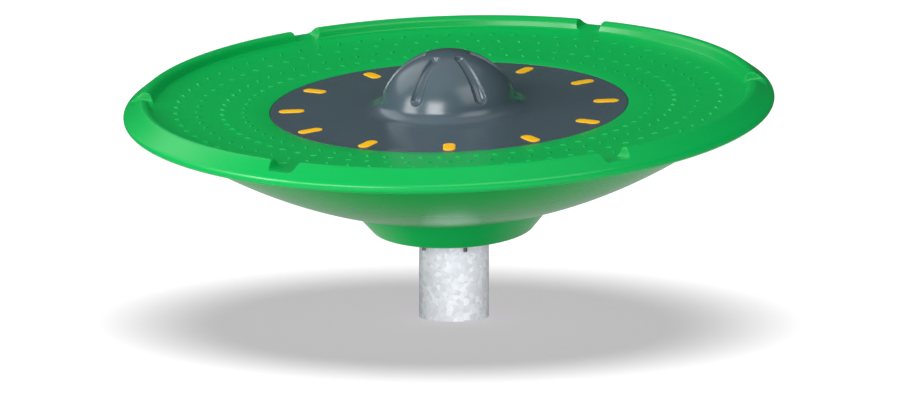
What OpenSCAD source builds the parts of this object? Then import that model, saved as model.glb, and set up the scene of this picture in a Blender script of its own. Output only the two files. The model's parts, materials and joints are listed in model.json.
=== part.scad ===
// Spinner disc: a leaning, freely turning disc on a round steel post.
// The origin is the middle of the post's foot on the ground, +Z is up along the post,
// and the disc leans towards -Y. The disc's own pieces are drawn about its axis, with
// the middle of the deck at zero, and on_axis() sets them in place.

/* [Post and lean] */
// Outside diameter of the post tube
post_d = 139.7; // [114.3:0.1:168.3]
// Wall of the post tube
post_wall = 5; // [4:0.5:8]
// Wall of the sleeve in the post's foot, which takes the ground anchor
anchor_wall = 5; // [4:0.5:8]
// Length of that sleeve
anchor_l = 100; // [60:1:130]
// Lean of the disc's axis from the vertical, in degrees
tilt = 8; // [6:0.5:10]
// Height of the middle of the deck above the ground
deck_height = 430; // [400:1:520]
// Distance down the disc's axis from the deck to the post's axis
axis_drop = 301; // [285:1:320]
// Turn of the disc about its axis at rest, in degrees
rest_turn = 14.2; // [0:0.1:60]

/* [Deck and rim] */
// Radius of the recess for the centre plate
recess_r = 355; // [340:1:370]
// Wall of the moulded shells
shell_wall = 5; // [4:0.5:6]
// Width of the dished floor, from the recess to the foot of the rim's inner wall
dish_w = 231; // [210:1:250]
// Slope of the dished floor where it leaves the recess, in degrees
dish_slope = 2.5; // [1.5:0.5:4]
// Rise of the dished floor to the foot of the inner wall
dish_rise = 18; // [15:0.1:22]
// Round at the foot of the inner wall
foot_round = 6; // [4:0.5:8]
// Width from the foot of the inner wall to the middle of the crest
wall_w = 17.1; // [16:0.1:22]
// Rise from the foot of the inner wall to the crest
wall_rise = 21.5; // [18:0.1:24]
// Round of the crest
crest_round = 13.9; // [12:0.1:16]
// Width from the middle of the crest to the middle of the outer edge's round
slope_w = 29; // [24:0.1:36]
// Fall between the middles of those rounds
slope_fall = 17.6; // [14:0.1:22]
// Round of the rim's outer edge
edge_round = 10.5; // [9:0.1:12]
// Width of the lip turned in under the outer edge
lip_w = 12; // [8:1:14]
// Width of the rim's underside, from the outer edge's round to the bowl
under_w = 52.8; // [46:0.1:60]
// Fall of the rim's underside
under_fall = 7.8; // [6:0.1:10]

/* [Repeats and notches] */
// Number of notches, dome grooves and arms, with two marks and rim screws for each
division = 6; // [5:1:8]
// Depth of a notch below the crest
notch_depth = 16.1; // [14:0.1:18]
// Width of a notch's floor
notch_floor_w = 36.4; // [32:0.1:40]
// Lean of a notch's side, in degrees from level
notch_side = 73; // [65:1:80]
// Round at the top of a notch's side
notch_top_round = 3; // [2:0.5:4]
// Round at the foot of a notch's side
notch_foot_round = 9; // [7:0.5:10]

/* [Centre plate and marks] */
// Gap round the centre plate
plate_gap = 1.2; // [0.6:0.1:2]
// Thickness of the centre plate
plate_t = 8.6; // [7:0.1:10]
// Depth of the plate's face below the deck
plate_sink = 1.7; // [0.5:0.1:3]
// Radius of the dome at its foot
dome_r = 135.6; // [128:0.1:145]
// Height of the dome over the deck
dome_h = 112.5; // [108:0.1:125]
// Width of the dome's flared foot
flare_w = 37.4; // [30:0.1:50]
// Wall of the dome
dome_wall = 5; // [4:0.5:7]
// Radius of a groove's section
groove_r = 10; // [8:0.5:12]
// Place of a groove's top on the dome, in degrees from its foot to its apex
groove_top = 69.2; // [60:0.1:78]
// Place of a groove's lower end on the dome, in degrees
groove_end = 23; // [20:0.2:28]
// Distance of a mark's middle from the recess
mark_inset = 43.7; // [36:0.1:60]
// Length of a mark, along the radius
mark_l = 50; // [40:1:60]
// Width of a mark
mark_w = 22; // [18:1:28]
// Height of a mark above the plate
mark_rise = 1.2; // [0.5:0.1:2]
// Depth of a mark's pocket
mark_pocket = 4; // [3:0.5:5]

/* [Bowl and skirt] */
// Bulge of the bowl's side below a straight cone
bowl_bulge = 22.3; // [18:0.1:28]
// Height of the seam between bowl and skirt over the lower bearing's bottom face
seam_over = 24.8; // [22:0.1:28]
// Slope of the skirt's side, in degrees from level
skirt_slope = 50.5; // [46:0.5:60]
// Round of the skirt's lower edge
skirt_round = 7; // [6:0.5:10]
// Height of the skirt
skirt_h = 58.2; // [54:0.1:62]
// Gap between the skirt's hole and the fixed head plate
skirt_gap = 12; // [8:1:16]
// Width of the flat ring under the skirt
skirt_land = 45.6; // [40:0.1:52]

/* [Hub and bearings] */
// Gap between the post and the washers under the head plate
bolt_gap = 0.15; // [0.1:0.05:4]
// Edge of the head plate beyond the bolt circle
head_edge = 16; // [13:1:20]
// Thickness of the head plate
head_t = 12; // [10:1:14]
// Thickness of the spindle's flange
flange_t = 15; // [12:1:16]
// Thickness of the hub housing's top wall
hub_wall = 10; // [8:1:12]
// Bore of the lower bearing
lower_bore = 60; // [55:1:62]
// Outside diameter of the lower bearing
lower_od = 110; // [106:1:112]
// Width of the lower bearing
lower_w = 22; // [20:1:22]
// Depth of the lower bearing's bottom face
lower_s = 215; // [212:1:216]
// Ball diameter in the lower bearing
lower_ball = 14; // [12:0.5:15]
// Bore of the upper bearing
upper_bore = 50; // [46:1:52]
// Outside diameter of the upper bearing
upper_od = 90; // [86:1:92]
// Width of the upper bearing
upper_w = 20; // [18:1:20]
// Depth of the upper bearing's bottom face
upper_s = 95; // [92:1:110]
// Ball diameter in the upper bearing
upper_ball = 11; // [10:0.5:12]
// Number of balls in each bearing
ball_count = 12; // [9:1:12]

/* [Steel frame] */
// Width of an arm
arm_w = 40; // [30:1:50]
// Height of an arm
arm_h = 25; // [20:1:30]
// Wall of an arm
arm_wall = 3; // [2:0.5:4]
// Distance of the frame's ring from the foot of the rim's inner wall
ring_inset = 102; // [96:1:120]
// Thickness of that ring
ring_t = 10; // [8:1:12]
// Distance of the ledge's bolts from the recess
ledge_bolt_inset = 105; // [90:1:130]
// Distance of the arms' outer screws from the ring
arm_screw_inset = 34; // [28:1:50]
// Thickness of the plate that carries skirt and bowl
web_t = 6; // [5:1:8]
// Width of the inward flanges of skirt and bowl
flange_w = 44; // [40:1:48]

/* [Hidden] */
$fn = 96;

// Places of the rim's outline, from the recess outwards
foot_r = recess_r + dish_w;
foot_h = dish_rise;
crest_r = foot_r + wall_w;
crest_h = foot_h + wall_rise - crest_round;
edge_r = crest_r + slope_w;
edge_h = crest_h - slope_fall;
edge_bottom = edge_h - edge_round;
bowl_top_r = edge_r - under_w;
bowl_top_h = edge_bottom - under_fall;

// Circles that screws and marks lie on
mark_circle_r = recess_r - mark_inset;
ledge_bolt_r = recess_r - ledge_bolt_inset;
ring_r = foot_r - ring_inset;
arm_screw_r = ring_r - arm_screw_inset;
flare_r = dome_r + flare_w;

// Clearances
screw_gap = 0.1;
spare_depth = 2;
seat_gap = 0.02;
run_gap = 0.05;
seal_gap = 0.1;
cut = 1;

// M5, M6 and M8 fasteners: shank radius, head radius, head height, nut height, across corners
m5_r = 2.5;
m6_r = 3;
m6_head_r = 6;
m6_head_h = 3.3;
m8_r = 4;
m8_head_r = 8;
m8_head_h = 4.4;
hex8_r = 7.5;
hex8_h = 5.5;
nut8_h = 6.5;
washer8_r = 8;
washer8_t = 1.6;

// Stack along the axis, as heights over the middle of the deck
seal_space = 16;
lower_bottom = -lower_s;
lower_top = lower_bottom + lower_w;
upper_bottom = -upper_s;
upper_top = upper_bottom + upper_w;
flange_top = lower_bottom - seal_space;
head_top = flange_top - flange_t;
head_bottom = head_top - head_t;
plate_bottom = -plate_sink - plate_t;
ledge_bottom = plate_bottom - shell_wall;
frame_top = ledge_bottom;
frame_bottom = frame_top - arm_h;

// Head plate and spindle
bolt_count = 6;
post_shift = (axis_drop + head_bottom) * tan(tilt);
bolt_circle_r = post_d / 2 + post_shift + washer8_r + bolt_gap;
head_r = bolt_circle_r + head_edge;
stud_reach = 13;
shoulder_r = lower_bore / 2 + 6;
sleeve_over = 2;
thread_r = upper_bore / 2 - 5;
washer_t = 4;
washer_r = upper_bore / 2 + 9;
end_bevel = 2;
nut_h = 18;
nut_r = thread_r + 11.5;
spindle_end = upper_top + washer_t + nut_h + 6;

// Hub
ring_wall_share = 0.34;
cage_t = 2.4;
cage_edge = 2;
hub_r = lower_od / 2 + hub_wall;
lower_lip = 6;
upper_lip = 4;
upper_lip_t = 3;
seal_r = lower_od / 2 - 2;
seal_h = 8.5;
seal_step = 0.5;
snap_t = 3;
snap_depth = 2;
snap_opening = 12;
cap_r = upper_od / 2 + 3;
cap_wall = 5;
cap_top_t = 3;
cap_clear = 4;
cap_top = spindle_end + 6 + cap_top_t;
hub_bottom = flange_top + 3;

// Skirt and bowl
seam_h = lower_bottom + seam_over;
skirt_hole_r = head_r + skirt_gap;
skirt_round_r = skirt_hole_r + skirt_land;
skirt_foot = seam_h - skirt_h;
skirt_tangent = skirt_slope - 90;
skirt_tangent_r = skirt_round_r + skirt_round * cos(skirt_tangent);
skirt_tangent_h = skirt_foot + skirt_round + skirt_round * sin(skirt_tangent);
seam_r = skirt_tangent_r + (seam_h - skirt_tangent_h) / tan(skirt_slope);
web_bottom = seam_h - web_t;
skirt_bolt_r = seam_r - 0.75 * flange_w;
skirt_wall_run = shell_wall / sin(skirt_slope);
web_r = seam_r - 2.6 * shell_wall;

// Rim: tangents from crest to outer edge and from foot to crest, and the round between floor and wall
edge_gap = norm([edge_r - crest_r, edge_h - crest_h]);
outer_normal = atan2(edge_h - crest_h, edge_r - crest_r) + acos((crest_round - edge_round) / edge_gap);
foot_gap = norm([crest_r - foot_r, crest_h - foot_h]);
inner_slope = atan2(crest_h - foot_h, crest_r - foot_r) + asin(crest_round / foot_gap);
inner_normal = inner_slope + 90;
floor_slope = 2 * atan2(dish_rise, dish_w) - dish_slope;
foot_half_turn = (inner_slope - floor_slope) / 2;
lip_r = edge_r - lip_w;
rim_screw_r = crest_r + 1;
rim_boss_r = 7;
arm_boss_r = 16;
arm_screw_top = frame_top + 10;
plate_boss_r = 9;
plate_boss_h = 16;
plate_screw_end = ledge_bottom - plate_boss_h + 4;
rim_screw_turn = 90 / division;
rim_screw_seat = bowl_top_h + (rim_screw_r - bowl_top_r) * under_fall / under_w + 0.8;
rim_screw_l = 24;
m5_head_r = 4.5;
m5_head_h = 3;

// Dome: a rounded cap, slightly fuller than a half ellipse, with a flared foot
dome_width_power = 1.03;
dome_height_power = 1.11;
flare_start = 13;
groove_lift = 1.5;

// Arms lie half way between a mark and the next notch's mark
frame_turn = 90 / division;
ball_gap = 0.05;

function polar(r, a) = [r * cos(a), r * sin(a)];
function arc(centre, r, from, to, steps) =
    [for (i = [0:steps]) centre + polar(r, from + (to - from) * i / steps)];

// A round stretch that leaves p at the slope a and ends at q
function swing(p, a, q, steps) =
    let (chord = norm(q - p), half = atan2(q[1] - p[1], q[0] - p[0]) - a)
    [for (i = [0:steps]) p + chord * sin(half * i / steps) / sin(half) * polar(1, a + half * i / steps)];

// A smooth bend from p to q whose end directions meet at m
function bend(p, m, q, steps) =
    [for (i = [0:steps]) let (t = i / steps) p * (1 - t) * (1 - t) + m * 2 * t * (1 - t) + q * t * t];

// Places children on the disc's axis, turned to the rest position or not
module on_axis(turn = 0) {
    translate([0, 0, deck_height - axis_drop * cos(tilt)])
        rotate([tilt, 0, 0])
            translate([0, 0, axis_drop])
                rotate([0, 0, turn])
                    children();
}

module round_the_axis(count, r, turn = 0) {
    for (i = [0:count - 1])
        rotate([0, 0, turn + i * 360 / count])
            translate([r, 0, 0])
                children();
}

module tube(r_out, r_in, bottom, top) {
    translate([0, 0, bottom])
        difference() {
            cylinder(r = r_out, h = top - bottom);
            translate([0, 0, -cut])
                cylinder(r = r_in, h = top - bottom + 2 * cut);
        }
}

module rod(r, bottom, top) {
    translate([0, 0, bottom])
        cylinder(r = r, h = top - bottom);
}

module hexagon(r, bottom, top) {
    translate([0, 0, bottom])
        cylinder(r = r, h = top - bottom, $fn = 6);
}

module hex_nut(r, hole, bottom, top) {
    difference() {
        hexagon(r, bottom, top);
        rod(hole, bottom - cut, top + cut);
    }
}

// Countersunk screw hanging down from the height of its head's face
module flat_screw(head_r, head_h, shank_r, face, end) {
    translate([0, 0, face - head_h])
        cylinder(r1 = shank_r, r2 = head_r, h = head_h);
    rod(shank_r, end, face - head_h + cut);
}

// Fixed pieces

module post() {
    color("gainsboro")
        difference() {
            tube(post_d / 2, post_d / 2 - post_wall, 0, deck_height);
            on_axis()
                translate([-deck_height, -deck_height, head_bottom])
                    cube([2 * deck_height, 2 * deck_height, deck_height]);
        }
}

module anchor_sleeve() {
    sleeve_r = post_d / 2 - post_wall - seat_gap;
    color("gray")
        tube(sleeve_r, sleeve_r - anchor_wall, 0, anchor_l);
}

module head_plate() {
    color("silver")
        on_axis()
            difference() {
                rod(head_r, head_bottom, head_top);
                round_the_axis(bolt_count, bolt_circle_r)
                    rod(m8_r + screw_gap, head_bottom - cut, head_top + cut);
            }
}

module spindle() {
    color("slategray")
        on_axis()
            difference() {
                union() {
                    rod(head_r, head_top, flange_top);
                    rod(shoulder_r, flange_top - cut, lower_bottom);
                    rod(lower_bore / 2 - seat_gap, lower_bottom - cut, lower_top);
                    rod(upper_bore / 2 - seat_gap, lower_top - cut, upper_top);
                    rod(thread_r, upper_top - cut, spindle_end - end_bevel);
                    translate([0, 0, spindle_end - end_bevel])
                        cylinder(r1 = thread_r, r2 = thread_r - end_bevel, h = end_bevel);
                }
                round_the_axis(bolt_count, bolt_circle_r)
                    rod(m8_r + screw_gap, head_top - cut, flange_top + cut);
            }
}

module head_bolts() {
    color("silver")
        on_axis()
            round_the_axis(bolt_count, bolt_circle_r) {
                rod(m8_r, head_bottom - washer8_t - nut8_h - stud_reach, flange_top + cut);
                hexagon(hex8_r, flange_top, flange_top + hex8_h);
            }
}

module head_washers() {
    color("silver")
        on_axis()
            round_the_axis(bolt_count, bolt_circle_r)
                tube(washer8_r, m8_r + screw_gap, head_bottom - washer8_t, head_bottom);
}

module head_nuts() {
    color("silver")
        on_axis()
            round_the_axis(bolt_count, bolt_circle_r)
                hex_nut(hex8_r, m8_r + seat_gap, head_bottom - washer8_t - nut8_h, head_bottom - washer8_t);
}

// Ball bearings: rings with a ball track, balls, and a cage that holds the balls apart

function ring_pitch(bore, od) = (bore + od) / 4;
function inner_land(bore, od) = bore / 2 + ring_wall_share * (od - bore) / 2;
function outer_land(bore, od) = od / 2 - ring_wall_share * (od - bore) / 2;

module bearing_ring(r_out, r_in, bottom, w, pitch, ball) {
    difference() {
        tube(r_out, r_in, bottom, bottom + w);
        rotate_extrude()
            translate([pitch, bottom + w / 2])
                circle(r = ball / 2 + ball_gap);
    }
}

module balls(bottom, w, pitch, ball) {
    round_the_axis(ball_count, pitch)
        translate([0, 0, bottom + w / 2])
            sphere(r = ball / 2);
}

module cage(bottom, w, pitch, ball) {
    cage_w = ball + 2 * cage_edge;
    difference() {
        tube(pitch + cage_t / 2, pitch - cage_t / 2, bottom + (w - cage_w) / 2, bottom + (w + cage_w) / 2);
        round_the_axis(ball_count, pitch - ball / 2)
            translate([0, 0, bottom + w / 2])
                rotate([0, 90, 0])
                    cylinder(r = ball / 2 + ball_gap, h = ball);
    }
}

module lower_inner_ring() {
    color("lightsteelblue")
        on_axis()
            bearing_ring(inner_land(lower_bore, lower_od), lower_bore / 2, lower_bottom, lower_w,
                ring_pitch(lower_bore, lower_od), lower_ball);
}

module upper_inner_ring() {
    color("lightsteelblue")
        on_axis()
            bearing_ring(inner_land(upper_bore, upper_od), upper_bore / 2, upper_bottom, upper_w,
                ring_pitch(upper_bore, upper_od), upper_ball);
}

module lower_outer_ring() {
    color("lightsteelblue")
        on_axis()
            bearing_ring(lower_od / 2, outer_land(lower_bore, lower_od), lower_bottom, lower_w,
                ring_pitch(lower_bore, lower_od), lower_ball);
}

module upper_outer_ring() {
    color("lightsteelblue")
        on_axis()
            bearing_ring(upper_od / 2, outer_land(upper_bore, upper_od), upper_bottom, upper_w,
                ring_pitch(upper_bore, upper_od), upper_ball);
}

module lower_balls() {
    color("white")
        on_axis()
            balls(lower_bottom, lower_w, ring_pitch(lower_bore, lower_od), lower_ball);
}

module upper_balls() {
    color("white")
        on_axis()
            balls(upper_bottom, upper_w, ring_pitch(upper_bore, upper_od), upper_ball);
}

module lower_cage() {
    color("darkgoldenrod")
        on_axis()
            cage(lower_bottom, lower_w, ring_pitch(lower_bore, lower_od), lower_ball);
}

module upper_cage() {
    color("darkgoldenrod")
        on_axis()
            cage(upper_bottom, upper_w, ring_pitch(upper_bore, upper_od), upper_ball);
}

module spacer_sleeve() {
    color("gray")
        on_axis()
            tube(lower_bore / 2 + sleeve_over, upper_bore / 2, lower_top, upper_bottom);
}

module spindle_washer() {
    color("silver")
        on_axis()
            tube(washer_r, thread_r + screw_gap, upper_top, upper_top + washer_t);
}

module spindle_nut() {
    color("silver")
        on_axis()
            hex_nut(nut_r, thread_r + seat_gap, upper_top + washer_t, upper_top + washer_t + nut_h);
}

// Hub, turning on the bearings

module hub_housing() {
    color("dimgray")
        on_axis()
            difference() {
                rod(hub_r, hub_bottom, frame_top);
                rod(seal_r + seat_gap, hub_bottom - cut, lower_bottom + cut);
                rod(seal_r + snap_depth * 2 + seat_gap, lower_bottom - snap_t, lower_bottom);
                rod(lower_od / 2 + seat_gap, lower_bottom, lower_top);
                rod(lower_od / 2 - lower_lip, lower_top - cut, upper_bottom - upper_lip_t);
                rod(upper_od / 2 - upper_lip, upper_bottom - upper_lip_t - cut, upper_bottom + cut);
                rod(upper_od / 2 + seat_gap, upper_bottom, upper_top);
                rod(cap_r + seat_gap, upper_top, frame_top + cut);
            }
}

module retaining_ring() {
    color("darkslategray")
        on_axis()
            difference() {
                tube(seal_r + snap_depth * 2, seal_r - snap_t, lower_bottom - snap_t, lower_bottom);
                translate([0, -snap_opening / 2, lower_bottom - snap_t - cut])
                    cube([lower_od, snap_opening, snap_t + 2 * cut]);
            }
}

module shaft_seal() {
    color("black")
        on_axis()
            tube(seal_r, shoulder_r + seal_gap, hub_bottom + seal_step, hub_bottom + seal_step + seal_h);
}

module grease_cap() {
    color("silver")
        on_axis()
            difference() {
                rod(cap_r, upper_top, cap_top);
                rod(cap_r - cap_wall, upper_top - cut, cap_top - cap_top_t);
            }
}

// Steel frame under the deck

module frame_arms() {
    color("gray")
        on_axis(rest_turn + frame_turn)
            for (i = [0:division - 1])
                rotate([0, 0, i * 360 / division])
                    arm();
}

module arm() {
    difference() {
        translate([hub_r / 2, -arm_w / 2, frame_bottom])
            cube([ring_r, arm_w, arm_h]);
        translate([0, -arm_w / 2 + arm_wall, frame_bottom + arm_wall])
            cube([2 * ring_r, arm_w - 2 * arm_wall, arm_h - 2 * arm_wall]);
        rod(hub_r, frame_bottom - cut, frame_top + cut);
        tube(2 * ring_r, ring_r, frame_bottom - cut, frame_top + cut);
        for (r = [ledge_bolt_r, arm_screw_r])
            translate([r, 0, 0])
                rod(m8_r + screw_gap, frame_bottom - cut, frame_top + cut);
    }
}

module frame_ring() {
    color("gray")
        on_axis()
            tube(ring_r + ring_t, ring_r, frame_bottom, frame_top);
}

module skirt_web() {
    color("gray")
        on_axis(rest_turn + frame_turn)
            difference() {
                tube(web_r, hub_r, web_bottom, seam_h);
                round_the_axis(division, skirt_bolt_r)
                    rod(m8_r + screw_gap, web_bottom - cut, seam_h + cut);
            }
}

// Deck shell: dished deck, rim with a rounded crest, and notches with rounded sides

function foot_centre() =
    [foot_r, foot_h] + polar(foot_round / cos(foot_half_turn), 90 + floor_slope + foot_half_turn);

function deck_line(t) = concat(
    swing([recess_r, -t], dish_slope, foot_centre() + polar(foot_round + t, floor_slope - 90), 10),
    arc(foot_centre(), foot_round + t, floor_slope - 90, inner_slope - 90, 6),
    arc([crest_r, crest_h], crest_round - t, inner_normal, outer_normal, 10),
    arc([edge_r, edge_h], edge_round - t, outer_normal, -90, 14));

module notch(t) {
    rounds = (notch_top_round + notch_foot_round) * (1 - cos(notch_side));
    straight = (notch_depth - rounds) / sin(notch_side);
    run = (notch_top_round + notch_foot_round) * sin(notch_side) + straight * cos(notch_side);
    half = notch_floor_w / 2;
    top_h = crest_h + crest_round;
    floor_h = top_h - notch_depth;
    side = concat(
        arc([half, floor_h + notch_foot_round], notch_foot_round + t, -90, notch_side - 90, 6),
        arc([half + run, top_h - notch_top_round], max(notch_top_round - t, 0.2), notch_side + 90, 90, 6));
    over = 2 * notch_depth;
    start_r = foot_r - notch_depth;
    outline = concat(side, [[half + run, top_h + over]], [[-half - run, top_h + over]],
        [for (i = [len(side) - 1:-1:0]) [-side[i][0], side[i][1]]]);
    translate([start_r, 0, 0])
        rotate([90, 0, 90])
            linear_extrude(edge_r + 2 * edge_round - start_r)
                polygon(outline);
}

module notches(t) {
    for (i = [0:division - 1])
        rotate([0, 0, i * 360 / division])
            notch(t);
}

function dish_h(r) = dish_rise * (r - recess_r) / dish_w;
function bowl_flange_h(r) =
    bowl_top_h + (r - bowl_top_r) * under_fall / under_w;

module rim_bosses() {
    over = rim_boss_r + cut;
    intersection() {
        round_the_axis(2 * division, rim_screw_r, rim_screw_turn)
            rod(rim_boss_r, bowl_top_h, crest_h + crest_round - shell_wall + cut);
        rotate_extrude()
            polygon([
                [rim_screw_r - over, bowl_flange_h(rim_screw_r - over) + shell_wall],
                [rim_screw_r + over, bowl_flange_h(rim_screw_r + over) + shell_wall],
                [rim_screw_r + over, crest_h + crest_round],
                [rim_screw_r - over, crest_h + crest_round]
            ]);
    }
}

module deck_shell() {
    deep = ledge_bottom - cut;
    hidden_r = lip_r - 2 * shell_wall;
    hub_hole_r = cap_r + cap_clear;
    step_r = recess_r + shell_wall;
    color("limegreen")
        on_axis(rest_turn)
            difference() {
                union() {
                    difference() {
                        rotate_extrude()
                            polygon(concat(
                                [[hub_hole_r, ledge_bottom], [hub_hole_r, plate_bottom]],
                                [[recess_r, plate_bottom]],
                                deck_line(0),
                                [[lip_r, bowl_flange_h(lip_r)], [hidden_r, bowl_flange_h(hidden_r)]],
                                [[hidden_r, ledge_bottom]]));
                        notches(0);
                        difference() {
                            rotate_extrude()
                                polygon(concat(
                                    [[step_r, deep], [step_r, -shell_wall + 0.3]],
                                    [for (p = deck_line(shell_wall)) if (p[0] > step_r + shell_wall) p],
                                    [[lip_r, edge_bottom + shell_wall], [lip_r, deep]]));
                            notches(shell_wall);
                        }
                    }
                    round_the_axis(division, arm_screw_r, frame_turn)
                        rod(arm_boss_r, frame_top, dish_h(arm_screw_r) - 0.8 * shell_wall);
                    round_the_axis(2 * division, mark_circle_r)
                        rod(plate_boss_r, ledge_bottom - plate_boss_h, ledge_bottom + cut);
                    rim_bosses();
                }
                round_the_axis(division, arm_screw_r, frame_turn)
                    rod(m8_r + screw_gap, frame_top - cut, arm_screw_top + spare_depth);
                round_the_axis(2 * division, mark_circle_r)
                    rod(m6_r + screw_gap, ledge_bottom - plate_boss_h + cut, plate_bottom + cut);
                round_the_axis(2 * division, rim_screw_r, rim_screw_turn)
                    rod(m5_r + screw_gap, bowl_top_h - cut, rim_screw_seat + rim_screw_l + spare_depth);
                round_the_axis(division, ledge_bolt_r, frame_turn) {
                    rod(m8_r + screw_gap, ledge_bottom - cut, plate_bottom + cut);
                    translate([0, 0, plate_bottom - m8_head_h])
                        cylinder(r1 = m8_r + screw_gap, r2 = m8_head_r + screw_gap, h = m8_head_h);
                }
            }
}

// Bowl under the deck: a bulging side between a flange under the rim and one on the web

function bowl_side(t) = [for (i = [0:24])
    let (u = i / 24, cone_h = bowl_top_h * (1 - u) + seam_h * u)
    [bowl_top_r * (1 - u) + seam_r * u, cone_h - 4 * u * (1 - u) * bowl_bulge + t]];

module bowl_shell() {
    inner = bowl_side(shell_wall * 1.15);
    color("forestgreen")
        on_axis(rest_turn)
            difference() {
                rotate_extrude()
                    polygon(concat(
                        [[lip_r - 0.5, bowl_flange_h(lip_r - 0.5)]],
                        bowl_side(0),
                        [[seam_r - flange_w, seam_h], [seam_r - flange_w, seam_h + shell_wall]],
                        [[seam_r - flange_w / 3, seam_h + shell_wall]],
                        [for (i = [24:-1:0]) if (inner[i][1] > seam_h + shell_wall) inner[i]],
                        [[bowl_top_r + 1, bowl_flange_h(bowl_top_r + 1) + shell_wall]],
                        [[lip_r - 0.5, bowl_flange_h(lip_r - 0.5) + shell_wall]]));
                round_the_axis(2 * division, rim_screw_r, rim_screw_turn) {
                    rod(m5_r + screw_gap, 2 * bowl_top_h, rim_screw_seat + 2 * shell_wall);
                    rod(m5_head_r + screw_gap, 2 * bowl_top_h, rim_screw_seat);
                }
                round_the_axis(division, skirt_bolt_r, frame_turn)
                    rod(m8_r + screw_gap, seam_h - cut, seam_h + shell_wall + cut);
            }
}

module skirt() {
    function wall_r(h) = seam_r - skirt_wall_run - (seam_h - h) / tan(skirt_slope);
    inner_round = skirt_round - shell_wall;
    web_clear = seam_h - web_t;
    color("limegreen")
        on_axis(rest_turn)
            difference() {
                rotate_extrude()
                    polygon(concat(
                        [[seam_r, seam_h]],
                        arc([skirt_round_r, skirt_foot + skirt_round], skirt_round, skirt_tangent, -90, 8),
                        [[skirt_hole_r, skirt_foot], [skirt_hole_r, skirt_foot + shell_wall]],
                        arc([skirt_round_r, skirt_foot + skirt_round], inner_round, -90, skirt_tangent, 8),
                        [for (h = [web_clear - shell_wall]) [wall_r(h), h]],
                        [[seam_r - flange_w, web_clear - shell_wall], [seam_r - flange_w, web_clear]],
                        [for (h = [web_clear, seam_h]) [wall_r(h), h]]));
                round_the_axis(division, skirt_bolt_r, frame_turn)
                    rod(m8_r + screw_gap, web_bottom - shell_wall - cut, web_bottom + cut);
            }
}

// Centre plate with its grooved dome

function dome_point(t, a) =
    [(dome_r - t) * pow(cos(a), dome_width_power), (dome_h - t) * pow(sin(a), dome_height_power)];

function dome_line(t, steps) =
    [for (i = [0:steps]) dome_point(t, flare_start + (90 - flare_start) * i / steps)];

function flare_line(steps) =
    let (p = dome_point(0, flare_start), q = dome_point(0, flare_start + 1))
    let (meet = p[0] + (p[0] - q[0]) / (q[1] - p[1]) * (p[1] + plate_sink))
    bend([flare_r, -plate_sink], [meet, -plate_sink], p, steps);

// A groove follows the round through three points of the dome
module groove(t) {
    p = dome_point(0, groove_top);
    q = dome_point(0, groove_end);
    m = dome_point(0, (groove_top + groove_end) / 2);
    d = 2 * (p[0] * (m[1] - q[1]) + m[0] * (q[1] - p[1]) + q[0] * (p[1] - m[1]));
    c = [
        (p * p * (m[1] - q[1]) + m * m * (q[1] - p[1]) + q * q * (p[1] - m[1])) / d,
        (p * p * (q[0] - m[0]) + m * m * (p[0] - q[0]) + q * q * (m[0] - p[0])) / d
    ];
    sweep_r = norm(p - c) + groove_lift;
    start = atan2(q[1] - c[1], q[0] - c[0]);
    turn = atan2(p[1] - c[1], p[0] - c[0]) - start;
    translate([c[0], 0, c[1]])
        rotate([90, 0, 0]) {
            rotate([0, 0, start])
                rotate_extrude(angle = turn)
                    translate([sweep_r, 0])
                        circle(r = groove_r + t);
            for (end = [start, start + turn])
                rotate([0, 0, end])
                    translate([sweep_r, 0, 0])
                        rotate([90, 0, 0])
                            sphere(r = groove_r + t);
        }
}

module grooves(t) {
    for (i = [0:division - 1])
        rotate([0, 0, i * 360 / division])
            groove(t);
}

module slot_outline(l, w) {
    translate([-(l - w) / 2, 0])
        circle(d = w);
    translate([(l - w) / 2, 0])
        circle(d = w);
    square([l - w, w], center = true);
}

module mark_places() {
    round_the_axis(2 * division, mark_circle_r)
        children();
}

module centre_plate() {
    plate_r = recess_r - plate_gap;
    pocket_gap = 0.15;
    pocket_h = -plate_sink - mark_pocket;
    color("slategray")
        on_axis(rest_turn)
            difference() {
                rotate_extrude()
                    polygon(concat(
                        [[0, plate_bottom], [plate_r, plate_bottom], [plate_r, -plate_sink]],
                        flare_line(8),
                        [for (i = [1:20]) dome_line(0, 20)[i]]));
                grooves(0);
                difference() {
                    rotate_extrude()
                        polygon(concat(
                            [[0, plate_bottom - cut], [dome_r - dome_wall, plate_bottom - cut]],
                            dome_line(dome_wall, 20)));
                    grooves(dome_wall);
                }
                mark_places() {
                    translate([0, 0, pocket_h])
                        linear_extrude(mark_pocket + cut)
                            slot_outline(mark_l + 2 * pocket_gap, mark_w + 2 * pocket_gap);
                    rod(m6_r + screw_gap, plate_bottom - cut, pocket_h);
                    translate([0, 0, pocket_h - m6_head_h])
                        cylinder(r1 = m6_r + screw_gap, r2 = m6_head_r + screw_gap, h = m6_head_h);
                }
            }
}

module marks() {
    bevel = 1;
    color("gold")
        on_axis(rest_turn)
            mark_places()
                translate([0, 0, -plate_sink - mark_pocket]) {
                    linear_extrude(mark_pocket + mark_rise - bevel)
                        slot_outline(mark_l, mark_w);
                    linear_extrude(mark_pocket + mark_rise)
                        slot_outline(mark_l - 2 * bevel, mark_w - 2 * bevel);
                }
}

// Fasteners of the turning part

module plate_screws() {
    color("silver")
        on_axis(rest_turn)
            mark_places()
                flat_screw(m6_head_r, m6_head_h, m6_r, -plate_sink - mark_pocket, plate_screw_end);
}

module ledge_bolts() {
    color("silver")
        on_axis(rest_turn + frame_turn)
            round_the_axis(division, ledge_bolt_r)
                flat_screw(m8_head_r, m8_head_h, m8_r, plate_bottom, frame_bottom - nut8_h - 3);
}

module ledge_nuts() {
    color("silver")
        on_axis(rest_turn + frame_turn)
            round_the_axis(division, ledge_bolt_r)
                hex_nut(hex8_r, m8_r + seat_gap, frame_bottom - nut8_h, frame_bottom);
}

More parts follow.
